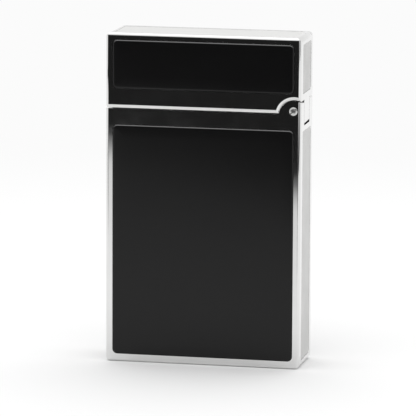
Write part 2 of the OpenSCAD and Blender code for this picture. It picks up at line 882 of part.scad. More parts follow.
// The lever's fork lies under the stem's collar and its tail under the lid
module burner_lever() {
    slot = lever_w / 2 - fork_prong_w;
    hub_gap = lever_hub_d / 2 + coil_gap;
    color(steel_c) difference() {
        union() {
            bar_y(lever_x, lever_z, lever_hub_d / 2, -lever_w / 2, lever_w / 2);
            block([burner_x, -lever_w / 2, lever_z - lever_t / 2],
                [lever_x + lever_tail, lever_w / 2, lever_z + lever_t / 2]);
        }
        bar_y(lever_x, lever_z, lever_pin_d / 2 + run_gap, -half_t, half_t);
        block([burner_x - over, -slot, deck_z], [burner_x + slot + fork_slack, slot, collar_z]);
        block([lever_x - hub_gap, -coil_half - lug_gap, deck_z],
            [lever_x + hub_gap, coil_half + lug_gap, collar_z + over]);
    }
}

module lever_pin() {
    end_y = lever_w / 2 + lug_gap + lug_t;
    color(steel_c) bar_y(lever_x, lever_z, lever_pin_d / 2, -end_y, end_y);
}

module lever_spring() {
    color(steel_c) coil_y(lever_x, lever_z, lever_pin_d / 2 + press_gap,
        lever_hub_d / 2 - coil_inset, coil_half);
}

// ---- Lid spring ----------------------------------------------------------

// Gaps from the leaf to the deck's leg and to the case's wall
leaf_leg_gap = 0.3;
leaf_wall_gap = 0.5;
leaf_x0 = leg_x0[1] + leg_t + leaf_leg_gap;
leaf_x1 = in_w - leaf_wall_gap;
leaf_top = pin_z - sweep_r - leaf_gap;
leaf_screw_inset = 1.3;
leaf_screw_x = leaf_x0 + leaf_screw_inset;
leaf_head_d = 1.6 * leaf_screw_d;
leaf_head_t = 0.6;

// A leaf bent up under the tongue, which snaps over it
module lid_spring() {
    color(steel_c) difference() {
        union() {
            block([leaf_x0, -leaf_w / 2, tank_top], [leaf_x1, leaf_w / 2, tank_top + leaf_t]);
            block([leaf_x1 - leaf_t, -leaf_w / 2, tank_top], [leaf_x1, leaf_w / 2, leaf_top - leaf_t]);
            bar_y(leaf_x1 - leaf_t, leaf_top - leaf_t, leaf_t, -leaf_w / 2, leaf_w / 2);
        }
        bar_z(leaf_screw_x, leaf_screw_d / 2 + press_gap, cap_z, deck_z);
    }
}

module lid_spring_screw() {
    z = tank_top + leaf_t;
    color(steel_c) difference() {
        union() {
            bar_z(leaf_screw_x, leaf_screw_d / 2, cap_z, z);
            bar_z(leaf_screw_x, leaf_head_d / 2, z, z + leaf_head_t);
        }
        block([leaf_x0 - over, -small_slot_w / 2, z + leaf_head_t - small_slot_t],
            [leaf_x1, small_slot_w / 2, z + over]);
    }
}

// ---- Lid -----------------------------------------------------------------

lid_panel_z0 = lid_z + lid_panel_foot;
lid_panel_z1 = case_h - lid_panel_head;
lid_plate_z0 = lid_z + lid_plate_foot;
lid_plate_z1 = case_h - plate_foot;

// The bevel along the lid's lower edge, for a face at distance d along an axis
module bevel_wedge(d) {
    polygon([[-d + 2 * bevel_d, lid_z - bevel_h], [-d - bevel_d, lid_z + 2 * bevel_h],
        [-d - bevel_d, lid_z - bevel_h]]);
}

// Room for one of the body's hinge ears, bevelled like the lid's lower edge
module ear_cut() {
    r = ear_r + ear_gap;
    bar_y(ear_x, ear_z, r, -half_t - over, -tongue_w / 2);
    translate([ear_x, -half_t + bevel_d, ear_z]) rotate([90, 0, 0])
        cylinder(h = 2 * bevel_d, r1 = r, r2 = r + 2 * bevel_h);
}

// Side view outline of the tongue, from the lid's wall to its round lower end
module tongue_outline() {
    low = pin_z - tongue_drop;
    translate([in_w, low + tongue_end_r]) square([wall_t, lid_in_z - low - wall_t - tongue_end_r]);
    translate([in_w, low]) square([wall_t - tongue_end_r, tongue_end_r]);
    translate([half_w - tongue_end_r, low + tongue_end_r]) circle(tongue_end_r);
    translate([pin_x, pin_z]) circle(knuckle_r);
}

module lid_shell() {
    color(chrome_c) difference() {
        union() {
            difference() {
                case_form();
                block([-half_w - over, -half_t - over, -over],
                    [half_w + over, half_t + over, lid_z]);
                block([-in_w, -in_t, 0], [in_w, in_t, lid_in_z]);
                lacquer_recesses(lid_panel_z0, lid_panel_z1);
                side_recesses(lid_plate_z0, lid_plate_z1);
                translate([0, 0, case_h - plate_recess]) linear_extrude(over) end_outline(inset_gap);
                front_and_rear() along_x(-case_w, case_w) bevel_wedge(half_t);
                along_y(-case_t, case_t) bevel_wedge(half_w);
                front_and_rear() ear_cut();
            }
            along_y(-tongue_w / 2, tongue_w / 2) tongue_outline();
        }
        side_recesses(lid_plate_z0, lid_plate_z1);
        bar_y(pin_x, pin_z, pin_d / 2 + run_gap, -half_t, half_t);
    }
}

module lid_front_panel() {
    color(lacquer_c) lacquer_panel(lid_panel_z0, lid_panel_z1);
}

module lid_rear_panel() {
    color(lacquer_c) mirror([0, 1, 0]) lacquer_panel(lid_panel_z0, lid_panel_z1);
}

module lid_right_plate() {
    color(satin_c) side_plate(lid_plate_z0, lid_plate_z1);
}

module lid_left_plate() {
    color(satin_c) mirror([1, 0, 0]) side_plate(lid_plate_z0, lid_plate_z1);
}

module lid_top_plate() {
    color(satin_c) translate([0, 0, case_h - plate_recess]) linear_extrude(plate_t) end_outline(0);
}

// ---- Snuffer -------------------------------------------------------------

snuffer_t = 0.6;
bracket_t = 0.5;
bonnet_wall = 0.5;
bonnet_roof = 0.6;

module snuffer_bracket() {
    y = snuffer_w / 2 + lug_gap;
    r = snuffer_hub_d / 2 + lug_rim;
    color(satin_c) difference() {
        union() {
            block([snuffer_x - r, -y - lug_t, lid_in_z - bracket_t],
                [snuffer_x + r, y + lug_t, lid_in_z]);
            front_and_rear() along_y(-y - lug_t, -y) {
                translate([snuffer_x, snuffer_z]) circle(r);
                translate([snuffer_x - r, snuffer_z]) square([2 * r, snuffer_drop]);
            }
        }
        bar_y(snuffer_x, snuffer_z, snuffer_pin_d / 2 + press_gap, -half_t, half_t);
    }
}

module snuffer_pin() {
    end_y = snuffer_w / 2 + lug_gap + lug_t;
    color(steel_c) bar_y(snuffer_x, snuffer_z, snuffer_pin_d / 2, -end_y, end_y);
}

module snuffer_spring() {
    color(steel_c) coil_y(snuffer_x, snuffer_z, snuffer_pin_d / 2 + press_gap,
        snuffer_hub_d / 2 - coil_inset, coil_half);
}

// The sprung arm whose bonnet closes over the burner with the lid
module snuffer_arm() {
    hub_gap = snuffer_hub_d / 2 + coil_gap;
    slot_h = snuffer_hub_d / 2 + lug_rim;
    color(chrome_c) difference() {
        union() {
            bar_y(snuffer_x, snuffer_z, snuffer_hub_d / 2, -snuffer_w / 2, snuffer_w / 2);
            block([burner_x, -snuffer_w / 2, snuffer_z - snuffer_t / 2],
                [snuffer_x, snuffer_w / 2, snuffer_z + snuffer_t / 2]);
            bar_z(burner_x, snuffer_w / 2, snuffer_z - snuffer_t / 2, snuffer_z + snuffer_t / 2);
            bar_z(burner_x, bonnet_d / 4, bonnet_z, snuffer_z);
            bar_z(burner_x, bonnet_d / 2, bonnet_z, bonnet_z + bonnet_h);
        }
        bar_z(burner_x, bonnet_d / 2 - bonnet_wall, bonnet_z - over,
            bonnet_z + bonnet_h - bonnet_roof);
        bar_y(snuffer_x, snuffer_z, snuffer_pin_d / 2 + run_gap, -half_t, half_t);
        block([snuffer_x - hub_gap, -coil_half - lug_gap, snuffer_z - slot_h],
            [snuffer_x + hub_gap, coil_half + lug_gap, snuffer_z + slot_h]);
    }
}

case_shell();
front_panel();
rear_panel();
left_side_plate();
right_side_plate();
base_plate();
gas_tank();
tank_cap();
filling_valve();
valve_seal();
valve_spring();
valve_stem();
flow_screw();
flint_tube();
flint_screw();
flint_spring();
flint_plunger();
flint();
deck();
deck_screws();
roller_axle();
spark_wheel();
front_roller_drum();
rear_roller_drum();
burner_body();
burner_seal();
burner_spring();
burner_stem();
wind_guard();
burner_lever();
lever_pin();
lever_spring();
hinge_pin();
lid_spring();
lid_spring_screw();
lid_shell();
lid_front_panel();
lid_rear_panel();
lid_top_plate();
lid_left_plate();
lid_right_plate();
snuffer_bracket();
snuffer_pin();
snuffer_spring();
snuffer_arm();
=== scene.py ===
"""Slim pocket gas lighter: finishes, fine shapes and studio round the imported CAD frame."""

import json
import math

import bmesh
import bpy
from mathutils import Matrix, Vector


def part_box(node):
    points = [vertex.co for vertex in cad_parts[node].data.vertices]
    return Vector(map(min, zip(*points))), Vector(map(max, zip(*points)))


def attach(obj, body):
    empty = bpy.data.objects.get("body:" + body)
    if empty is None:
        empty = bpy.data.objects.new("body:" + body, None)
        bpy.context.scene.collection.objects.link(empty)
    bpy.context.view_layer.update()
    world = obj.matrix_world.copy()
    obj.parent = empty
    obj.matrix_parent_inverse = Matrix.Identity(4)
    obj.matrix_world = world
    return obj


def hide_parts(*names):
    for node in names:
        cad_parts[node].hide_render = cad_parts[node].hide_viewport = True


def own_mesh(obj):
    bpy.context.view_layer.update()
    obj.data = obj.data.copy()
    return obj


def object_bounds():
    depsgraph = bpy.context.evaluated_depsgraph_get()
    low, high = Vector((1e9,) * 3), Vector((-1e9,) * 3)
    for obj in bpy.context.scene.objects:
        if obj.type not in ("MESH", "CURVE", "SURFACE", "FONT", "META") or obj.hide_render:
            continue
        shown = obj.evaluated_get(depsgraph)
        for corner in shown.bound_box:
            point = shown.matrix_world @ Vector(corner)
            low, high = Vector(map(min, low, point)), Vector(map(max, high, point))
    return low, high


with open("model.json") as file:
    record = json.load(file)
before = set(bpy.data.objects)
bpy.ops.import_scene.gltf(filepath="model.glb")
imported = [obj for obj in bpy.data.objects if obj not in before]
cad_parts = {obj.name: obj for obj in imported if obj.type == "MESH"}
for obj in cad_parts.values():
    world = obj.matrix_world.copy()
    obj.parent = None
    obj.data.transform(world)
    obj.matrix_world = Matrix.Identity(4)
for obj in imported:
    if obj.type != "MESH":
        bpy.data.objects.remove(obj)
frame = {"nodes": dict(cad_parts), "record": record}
CAD_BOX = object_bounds()

MM = 0.001
NODES = frame["nodes"]
RECORD = frame["record"]
BODY_OF = {n: body for body, names in RECORD["behaviour"]["bodies"].items() for n in names}
SLOT_OF = {s["node"]: s["material_slot"] for s in RECORD["subparts"]}


# ---- Shader graphs -------------------------------------------------------

class Graph:
    """A node tree, built a node at a time."""

    def __init__(self, tree):
        self.tree = tree

    def node(self, kind, **settings):
        made = self.tree.nodes.new("ShaderNode" + kind)
        for key, value in settings.items():
            setattr(made, key, value)
        return made

    def feed(self, socket, value):
        """Links a socket to another, or sets its number or colour."""
        if isinstance(value, bpy.types.NodeSocket):
            self.tree.links.new(value, socket)
        else:
            socket.default_value = value

    def math(self, operation, a, b):
        made = self.node("Math", operation=operation)
        self.feed(made.inputs[0], a)
        self.feed(made.inputs[1], b)
        return made.outputs[0]

    def span(self, value, low, high, to_low, to_high, smooth=False):
        """Maps a value from one range to another, clamped."""
        made = self.node("MapRange", interpolation_type="SMOOTHSTEP" if smooth else "LINEAR")
        for socket, number in zip(made.inputs[:5], (value, low, high, to_low, to_high)):
            self.feed(socket, number)
        return made.outputs[0]

    def blend(self, fac, a, b):
        """Mixes two numbers."""
        rest = self.math("SUBTRACT", 1.0, fac)
        return self.math("ADD", self.math("MULTIPLY", rest, a), self.math("MULTIPLY", fac, b))

    def mix(self, fac, a, b):
        """Mixes two colours."""
        made = self.node("Mix", data_type="RGBA")
        self.feed(made.inputs[0], fac)
        for socket, colour in zip(made.inputs[6:8], (a, b)):
            self.feed(socket, (*colour, 1) if isinstance(colour, tuple) else colour)
        return made.outputs[2]

    def split(self, vector):
        made = self.node("SeparateXYZ")
        self.feed(made.inputs[0], vector)
        return made.outputs


# Most of a noise's values lie between these
NOISE_SPREAD = (0.3, 0.7)


class Finish(Graph):
    """One procedural surface material."""

    def __init__(self, name, **constants):
        self.material = bpy.data.materials.new(name)
        self.material.use_nodes = True
        super().__init__(self.material.node_tree)
        self.surface = self.tree.nodes["Principled BSDF"]
        self.output = self.tree.nodes["Material Output"]
        self.place = self.node("TexCoord").outputs["Object"]
        for key, value in constants.items():
            self.surface.inputs[key.replace("_", " ")].default_value = value

    def noise(self, scale, detail, rough, stretch=(1, 1, 1)):
        """Noise of a scale in features per metre, stretched along an axis by a small factor."""
        mapping = self.node("Mapping")
        mapping.inputs["Scale"].default_value = stretch
        self.feed(mapping.inputs["Vector"], self.place)
        made = self.node("TexNoise")
        self.feed(made.inputs["Vector"], mapping.outputs[0])
        for key, value in (("Scale", scale), ("Detail", detail), ("Roughness", rough)):
            made.inputs[key].default_value = value
        return made.outputs["Fac"]

    def colour(self, fac, a, b):
        self.feed(self.surface.inputs["Base Color"], self.mix(fac, a, b))

    def rough(self, fac, low, high):
        self.feed(self.surface.inputs["Roughness"], self.span(fac, *NOISE_SPREAD, low, high))

    def bump(self, height, depth):
        """Relief of a depth in millimetres."""
        made = self.node("Bump")
        made.inputs["Distance"].default_value = depth * MM
        self.feed(made.inputs["Height"], height)
        self.feed(self.surface.inputs["Normal"], made.outputs[0])


# ---- Finishes ------------------------------------------------------------

def chrome():
    """Bright plating with a trace of polishing haze and hairline marks."""
    s = Finish("chrome_plate", Metallic=1.0)
    haze = s.noise(scale=420, detail=4, rough=0.6)
    hair = s.noise(scale=900, detail=2, rough=0.5, stretch=(1, 1, 0.04))
    s.colour(haze, (0.71, 0.71, 0.705), (0.78, 0.78, 0.775))
    s.rough(haze, low=0.035, high=0.07)
    s.bump(hair, depth=0.0002)
    return s.material


def pin_metal():
    """Plated steel, buffed less brightly than the case round it."""
    s = Finish("buffed_pin", Metallic=1.0)
    haze = s.noise(scale=2600, detail=3, rough=0.6)
    s.colour(haze, (0.50, 0.50, 0.495), (0.66, 0.66, 0.65))
    s.rough(haze, low=0.16, high=0.26)
    s.bump(haze, depth=0.0008)
    return s.material


# Dark and light brush marks of the satin plates, and how much less blue they are than grey
SATIN_LEVELS = (0.46, 0.55)
SATIN_BLUE = 0.985


def satin(name="satin_plate", tone=1.0):
    """Inset plates brushed along the case."""
    s = Finish(name, Metallic=1.0)
    grain = s.noise(scale=14000, detail=3, rough=0.6, stretch=(1, 1, 0.012))
    cloud = s.noise(scale=260, detail=3, rough=0.5)
    # A tone above 1 makes a paler copy of the finish, as painted light
    low, high = (level * tone for level in SATIN_LEVELS)
    s.colour(grain, (low, low, SATIN_BLUE * low), (high, high, SATIN_BLUE * high))
    s.rough(cloud, low=0.30, high=0.38)
    s.bump(grain, depth=0.0012)
    return s.material


def deck_plate():
    """Soft plating brushed across the case."""
    s = Finish("deck_plate", Metallic=1.0)
    grain = s.noise(scale=9000, detail=3, rough=0.6, stretch=(0.02, 1, 1))
    s.colour(grain, (0.62, 0.625, 0.635), (0.74, 0.745, 0.755))
    s.rough(grain, low=0.20, high=0.28)
    s.bump(grain, depth=0.001)
    return s.material


# Upward shares of a surface's normal at which the painted highlight coat starts and is full
HIGHLIGHT_COAT_RISE = (0.2, 0.5)


def lacquer():
    """Deep gloss black lacquer with the faint ripple of polished coats."""
    # The coat's high IOR serves the painted highlight on upward faces
    s = Finish("black_lacquer", IOR=1.33, Coat_IOR=2.2, Coat_Roughness=0.08)
    ripple = s.noise(scale=130, detail=2, rough=0.45)
    dust = s.noise(scale=5200, detail=2, rough=0.5)
    s.colour(dust, (0.0040, 0.0040, 0.0041), (0.0060, 0.0060, 0.0061))
    s.rough(ripple, low=0.15, high=0.17)
    s.bump(ripple, depth=0.0008)
    # Painted highlight: a strong clear coat only on upward-facing faces, so the upper rounded
    # edges shine brighter than the rest
    _, _, up = s.split(s.node("TexCoord").outputs["Normal"])
    s.feed(s.surface.inputs["Coat Weight"], s.span(up, *HIGHLIGHT_COAT_RISE, 0.0, 1.0))
    return s.material


def brass():
    """Machined brass with turning marks and a little tarnish."""
    s = Finish("machined_brass", Metallic=1.0)
    marks = s.noise(scale=7000, detail=3, rough=0.6, stretch=(0.15, 0.15, 1))
    tarnish = s.noise(scale=500, detail=4, rough=0.6)
    s.colour(tarnish, (0.78, 0.56, 0.25), (0.62, 0.42, 0.17))
    s.rough(marks, low=0.20, high=0.34)
    s.bump(marks, depth=0.0015)
    return s.material


def steel():
    """Machined steel with fine tool marks."""
    s = Finish("machined_steel", Metallic=1.0)
    marks = s.noise(scale=8000, detail=3, rough=0.6, stretch=(1, 0.1, 1))
    cloud = s.noise(scale=700, detail=3, rough=0.5)
    s.colour(cloud, (0.46, 0.47, 0.49), (0.60, 0.61, 0.63))
    s.rough(marks, low=0.24, high=0.38)
    s.bump(marks, depth=0.0015)
    return s.material


def rubber():
    """Dull seal rubber."""
    s = Finish("seal_rubber")
    grain = s.noise(scale=6000, detail=3, rough=0.6)
    s.colour(grain, (0.018, 0.018, 0.02), (0.032, 0.032, 0.034))
    s.rough(grain, low=0.6, high=0.75)
    s.bump(grain, depth=0.003)
    return s.material


def flint_alloy():
    """Sintered flint, dark and granular."""
    s = Finish("flint_alloy", Metallic=0.7)
    grain = s.noise(scale=9000, detail=4, rough=0.7)
    s.colour(grain, (0.09, 0.088, 0.085), (0.19, 0.185, 0.175))
    s.rough(grain, low=0.5, high=0.7)
    s.bump(grain, depth=0.006)
    return s.material


FINISH = {
    "chrome": chrome(),
    "satin_plate": satin(),
    "deck_metal": deck_plate(),
    "lacquer": lacquer(),
    "brass": brass(),
    "steel": steel(),
    "seal_rubber": rubber(),
    "flint_alloy": flint_alloy(),
}


# ---- CAD nodes that stay -------------------------------------------------

# Width in millimetres and segments of the rounded rims
SHELL_RIM = (0.09, 3)
SMALL_RIM = (0.04, 2)
WELD_GAP = 0.002
# Angles in degrees under which faces join into one, and over which edges are rounded
FLAT_ANGLE = 0.5
SHARP_ANGLE = 20
SHELLS = ("case_shell", "lid_shell")
SMALL_METAL = (
    "left_side_plate", "right_side_plate", "base_plate", "lid_top_plate", "lid_left_plate",
    "lid_right_plate", "deck", "deck_screws", "flint_tube", "flint_screw", "flow_screw",
    "filling_valve", "burner_body", "burner_stem", "wind_guard", "burner_lever", "lever_pin",
    "roller_axle", "lid_spring", "lid_spring_screw", "snuffer_bracket", "snuffer_pin",
    "snuffer_arm",
)


def soften(obj, width, segments):
    """Rounds a metal node's sharp edges a little, so that they catch the light."""
    weld = obj.modifiers.new("weld", "WELD")
    weld.merge_threshold = WELD_GAP * MM
    planes = obj.modifiers.new("planes", "DECIMATE")
    planes.decimate_type = "DISSOLVE"
    planes.angle_limit = math.radians(FLAT_ANGLE)
    bevel = obj.modifiers.new("rim", "BEVEL")
    bevel.width = width * MM
    bevel.segments = segments
    bevel.limit_method = "ANGLE"
    bevel.angle_limit = math.radians(SHARP_ANGLE)
    bevel.harden_normals = True


for name, obj in NODES.items():
    for slot in obj.material_slots:
        slot.material = FINISH[SLOT_OF[name]]

# Painted light: the top plate gets a paler copy of the satin finish, standing in for the
# brighter light it takes from above
TOP_PLATE_PAINTED_LIGHT = 1.5
for slot in NODES["lid_top_plate"].material_slots:
    slot.material = satin("painted_light_satin_plate", TOP_PLATE_PAINTED_LIGHT)

for name in SHELLS:
    soften(NODES[name], *SHELL_RIM)
for name in SMALL_METAL:
    soften(NODES[name], *SMALL_RIM)


# ---- Mesh helpers --------------------------------------------------------

def piece(node, verts, faces, sharp):
    """A piece that stands for a CAD node, from points in millimetres.

    Edges of more than sharp degrees stay sharp."""
    name = "fine_" + node
    mesh = bpy.data.meshes.new(name)
    mesh.from_pydata([Vector(v) * MM for v in verts], [], faces)
    mesh.validate()
    fix = bmesh.new()
    fix.from_mesh(mesh)
    bmesh.ops.recalc_face_normals(fix, faces=fix.faces)
    fix.to_mesh(mesh)
    fix.free()
    mesh.shade_smooth()
    mesh.set_sharp_from_angle(angle=math.radians(sharp))
    mesh.materials.append(FINISH[SLOT_OF[node]])
    obj = bpy.data.objects.new(name, mesh)
    bpy.context.scene.collection.objects.link(obj)
    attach(obj, BODY_OF[node])
    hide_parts(node)
    return obj


def box_mm(node):
    low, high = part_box(node)
    return Vector(low) / MM, Vector(high) / MM


def bridge(rings):
    """Faces between rings of equally many points."""
    n = len(rings[0])
    faces = []
    for a, b in zip(rings, rings[1:]):
        for i in range(n):
            j = (i + 1) % n
            faces.append((a[i], a[j], b[j], b[i]))
    return faces


class Skin:
    """Points and faces gathered ring by ring."""

    def __init__(self):
        self.verts, self.faces = [], []

    def ring(self, points):
        start = len(self.verts)
        self.verts.extend(points)
        return list(range(start, len(self.verts)))

    def loft(self, rings):
        """Joins rings in a row and closes both ends."""
        rows = [self.ring(r) for r in rings]
        self.faces.extend(bridge(rows))
        self.faces.append(tuple(reversed(rows[0])))
        self.faces.append(tuple(rows[-1]))


# ---- Lacquer panels ------------------------------------------------------

PANEL_CORNER = 0.9
PANEL_ROUND = 0.28
# The crown rises towards the middle over a strip along the rim
PANEL_CROWN = 0.03
CROWN_WIDTH = 2.4
SMALLEST_CORNER = 0.03
CORNER_STEPS = 12
ROUND_STEPS = 8
CROWN_STEPS = 12


def rounded_loop(half_w, half_h, inset):
    """Points of the panel's outline, moved inwards by inset."""
    r = max(PANEL_CORNER - inset, SMALLEST_CORNER)
    cx, cz = half_w - inset - r, half_h - inset - r
    points = []
    for turn, (sx, sz) in enumerate(((1, 1), (-1, 1), (-1, -1), (1, -1))):
        for k in range(CORNER_STEPS + 1):
            a = math.radians(90 * (turn + k / CORNER_STEPS))
            points.append((sx * cx + r * math.cos(a), sz * cz + r * math.sin(a)))
    return points


def crown_depth(inset):
    """How far the crowned face lies behind its middle, at a distance from the rim."""
    return PANEL_CROWN * (1 - inset / CROWN_WIDTH) ** 2


def lacquer_panel(node):
    """A lacquer panel, polished round at its rim and gently crowned towards it."""
    low, high = box_mm(node)
    front = low.y < 0
    face, back = (low.y, high.y) if front else (high.y, low.y)
    side = 1 if front else -1
    centre = (low + high) / 2
    half_w, half_h = (high.x - low.x) / 2, (high.z - low.z) / 2
    profile = [(0.0, abs(back - face))]
    for k in range(ROUND_STEPS + 1):
        a = math.radians(90 * k / ROUND_STEPS)
        inset = PANEL_ROUND * (1 - math.cos(a))
        profile.append((inset, PANEL_ROUND * (1 - math.sin(a)) + crown_depth(inset)))
    for k in range(1, CROWN_STEPS + 1):
        inset = PANEL_ROUND + (CROWN_WIDTH - PANEL_ROUND) * k / CROWN_STEPS
        profile.append((inset, crown_depth(inset)))
    skin = Skin()
    skin.loft([[(centre.x + x, face + side * depth, centre.z + z)
                for x, z in rounded_loop(half_w, half_h, inset)] for inset, depth in profile])
    return piece(node, skin.verts, skin.faces, sharp=60)


for panel in ("front_panel", "rear_panel", "lid_front_panel", "lid_rear_panel"):
    lacquer_panel(panel)


# ---- Turned and knurled pieces -------------------------------------------

def turned(profile, steps, ripple):
    """Revolves (radius, height, tooth share) round Z; the profile closes on itself."""
    skin = Skin()
    rows = []
    for radius, height, share in profile:
        points = []
        for i in range(steps):
            a = 2 * math.pi * i / steps
            r = radius - ripple(a, height) * share
            points.append((r * math.cos(a), r * math.sin(a), height))
        rows.append(skin.ring(points))
    skin.faces.extend(bridge(rows + rows[:1]))
    return skin


def along_y(points, x, z):
    """Lays points made round Z along Y, through (x, z)."""
    return [(x + px, pz, z + py) for px, py, pz in points]


DRUM_TEETH = 48
DRUM_TOOTH = 0.18
DRUM_CHAMFER = 0.18
WHEEL_TEETH = 30
WHEEL_TOOTH = 0.22
WHEEL_CHAMFER = 0.08
# How far the saw teeth lean, in teeth for each millimetre from the wheel's middle
TOOTH_LEAN = 0.9
STEPS_PER_TOOTH = 8
AXLE_BORE = 0.78
# Shares of a wheel's radius where its sunk web starts and ends, and the web's depth
HUB_SHARE, WEB_SHARE, WEB_SINK = 0.36, 0.78, 0.12
# At a chamfer's outer edge the wheel is lower by this share of a tooth, and the teeth are
# this share as deep
EDGE_TOOTH, EDGE_SHARE = 0.3, 0.7
TOOTH_INSET = 0.05
# Under 1, it widens the grooves between the ridges
RIDGE_POWER = 0.7


def wheel(node, ripple, tooth, chamfer, steps, rows):
    """A toothed wheel with chamfered ends and a sunk web, on the roller's axle."""
    low, high = box_mm(node)
    centre = (low + high) / 2
    radius = (high.z - low.z) / 2
    hub, web = radius * HUB_SHARE, radius * WEB_SHARE
    root, edge = radius - tooth - chamfer, radius - tooth * EDGE_TOOTH
    first = low.y + chamfer + TOOTH_INSET
    span = high.y - low.y - 2 * (chamfer + TOOTH_INSET)
    near = [(AXLE_BORE, low.y, 0), (hub, low.y, 0), (hub, low.y + WEB_SINK, 0),
            (web, low.y + WEB_SINK, 0), (web, low.y, 0), (root, low.y, 0),
            (edge, low.y + chamfer, EDGE_SHARE)]
    toothed = [(radius, first + span * k / rows, 1) for k in range(rows + 1)]
    far = [(r, low.y + high.y - y, share) for r, y, share in reversed(near)]
    skin = turned(near + toothed + far, steps, lambda a, y: tooth * ripple(a, y - centre.y))
    points = along_y(skin.verts, centre.x, centre.z)
    return piece(node, points, skin.faces, sharp=40)


def knurl(a, _):
    """A straight knurl with rounded ridges."""
    return (0.5 - 0.5 * math.cos(DRUM_TEETH * a)) ** RIDGE_POWER


def file_teeth(a, y):
    """Saw teeth that lean, cut in a shallow V across the wheel."""
    return (WHEEL_TEETH * a / (2 * math.pi) + TOOTH_LEAN * abs(y)) % 1.0


for drum in ("front_roller_drum", "rear_roller_drum"):
    wheel(drum, knurl, DRUM_TOOTH, DRUM_CHAMFER, DRUM_TEETH * STEPS_PER_TOOTH, rows=1)
wheel("spark_wheel", file_teeth, WHEEL_TOOTH, WHEEL_CHAMFER, WHEEL_TEETH * STEPS_PER_TOOTH,
      rows=8)


# ---- Coil springs --------------------------------------------------------

COIL_STEPS = 28
WIRE_SIDES = 10


def coil(node, wire, turns, dead=1.0, across=False):
    """A round-wire spring along Z or across the case, with dead closed turns at each end."""
    low, high = box_mm(node)
    centre = (low + high) / 2
    start, end = (low.y, high.y) if across else (low.z, high.z)
    mean = (high.x - low.x - wire) / 2
    count = int(turns * COIL_STEPS)
    free = end - start - wire - 2 * dead * wire
    skin = Skin()
    rings = []
    for i in range(count + 1):
        turn = i / COIL_STEPS
        active = min(max(turn - dead, 0.0), turns - 2 * dead)
        closed = min(turn, dead) + max(turn - (turns - dead), 0.0)
        height = start + wire / 2 + closed * wire + free * active / (turns - 2 * dead)
        a = 2 * math.pi * turn
        ring = []
        for k in range(WIRE_SIDES):
            b = 2 * math.pi * k / WIRE_SIDES
            r = mean + wire / 2 * math.cos(b)
            ring.append((r * math.cos(a), r * math.sin(a), height + wire / 2 * math.sin(b)))
        rings.append(ring)
    skin.loft(rings)
    if across:
        points = along_y(skin.verts, centre.x, centre.z)
    else:
        points = [(centre.x + px, centre.y + py, pz) for px, py, pz in skin.verts]
    return piece(node, points, skin.faces, sharp=60)


coil("flint_spring", wire=0.45, turns=26)
coil("burner_spring", wire=0.40, turns=5)
valve_spring = coil("valve_spring", wire=0.26, turns=6.5)
coil("lever_spring", wire=0.28, turns=4.5, dead=0.5, across=True)
coil("snuffer_spring", wire=0.28, turns=4.5, dead=0.5, across=True)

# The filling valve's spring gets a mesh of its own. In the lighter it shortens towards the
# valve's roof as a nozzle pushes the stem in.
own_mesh(valve_spring)


# ---- Hinge pin -----------------------------------------------------------

PIN_SHANK = 0.6
PIN_HEAD_T = 0.42
PIN_DOME = 0.2
# Over 1, it keeps the dome's middle flatter
DOME_POWER = 1.3
DOME_STEPS = 8
PIN_SLOT = 0.2
PIN_SLOT_DEPTH = 0.12
# The slots lie at this angle to the horizontal, in degrees
PIN_TURN = 40
PIN_STEPS = 48
# Distances in millimetres at which a cut snaps to a point, and a point counts as on a plane
CUT_SNAP = 1e-6
ON_PLANE = 1e-5


def mill_slot(bm, width, floor, end):
    """Mills a slot along X across the end face of a turned piece; end is 1 or -1."""
    cuts = (((0, width / 2, 0), (0, 1, 0)), ((0, -width / 2, 0), (0, 1, 0)),
            ((0, 0, end * floor), (0, 0, 1)))
    for plane, facing in cuts:
        bmesh.ops.bisect_plane(bm, geom=bm.verts[:] + bm.edges[:] + bm.faces[:],
                               dist=CUT_SNAP, plane_co=plane, plane_no=facing)
    gone = [f for f in bm.faces if abs(f.calc_center_median().y) < width / 2
            and end * f.calc_center_median().z > floor]
    bmesh.ops.delete(bm, geom=gone, context="FACES")
    rim = {v for e in bm.edges if e.is_boundary for v in e.verts}
    for wall in (width / 2, -width / 2):
        side = sorted((v for v in rim if abs(v.co.y - wall) < ON_PLANE), key=lambda v: v.co.x)
        bm.faces.new(side)
    level = sorted((v for v in rim if abs(v.co.z - end * floor) < ON_PLANE),
                   key=lambda v: math.atan2(v.co.y, v.co.x))
    bm.faces.new(level)


def hinge_pin():
    """The pin, with a domed and slotted head at each end."""
    low, high = box_mm("hinge_pin")
    half, head = high.y, (high.x - low.x) / 2
    end = []
    for k in range(DOME_STEPS + 1):
        a = math.radians(90 * k / DOME_STEPS)
        end.append((head * math.sin(a), half - PIN_DOME * (1 - math.cos(a)) ** DOME_POWER))
    outline = end + [(head, half - PIN_HEAD_T), (PIN_SHANK, half - PIN_HEAD_T)]
    rows = outline + [(r, -y) for r, y in reversed(outline)]
    bm = bmesh.new()
    angles = [2 * math.pi * i / PIN_STEPS for i in range(PIN_STEPS)]
    rings = []
    for r, y in rows:
        around = angles if r else angles[:1]
        rings.append([bm.verts.new((r * math.cos(a), r * math.sin(a), y)) for a in around])
    for a, b in zip(rings, rings[1:]):
        for i in range(PIN_STEPS):
            j = (i + 1) % PIN_STEPS
            corner = [a[i % len(a)], a[j % len(a)], b[j % len(b)], b[i % len(b)]]
            bm.faces.new(list(dict.fromkeys(corner)))
    for which in (1, -1):
        mill_slot(bm, PIN_SLOT, half - PIN_SLOT_DEPTH, which)
    bm.verts.index_update()
    turn = math.radians(PIN_TURN)
    centre = (low + high) / 2
    points = []
    for v in bm.verts:
        x = v.co.x * math.cos(turn) - v.co.y * math.sin(turn)
        y = v.co.x * math.sin(turn) + v.co.y * math.cos(turn)
        points.append((centre.x + x, v.co.z, centre.z + y))
    faces = [tuple(v.index for v in f.verts) for f in bm.faces]
    bm.free()
    pin = piece("hinge_pin", points, faces, sharp=30)
    pin.data.materials[0] = pin_metal()


hinge_pin()


# ---- Studio --------------------------------------------------------------

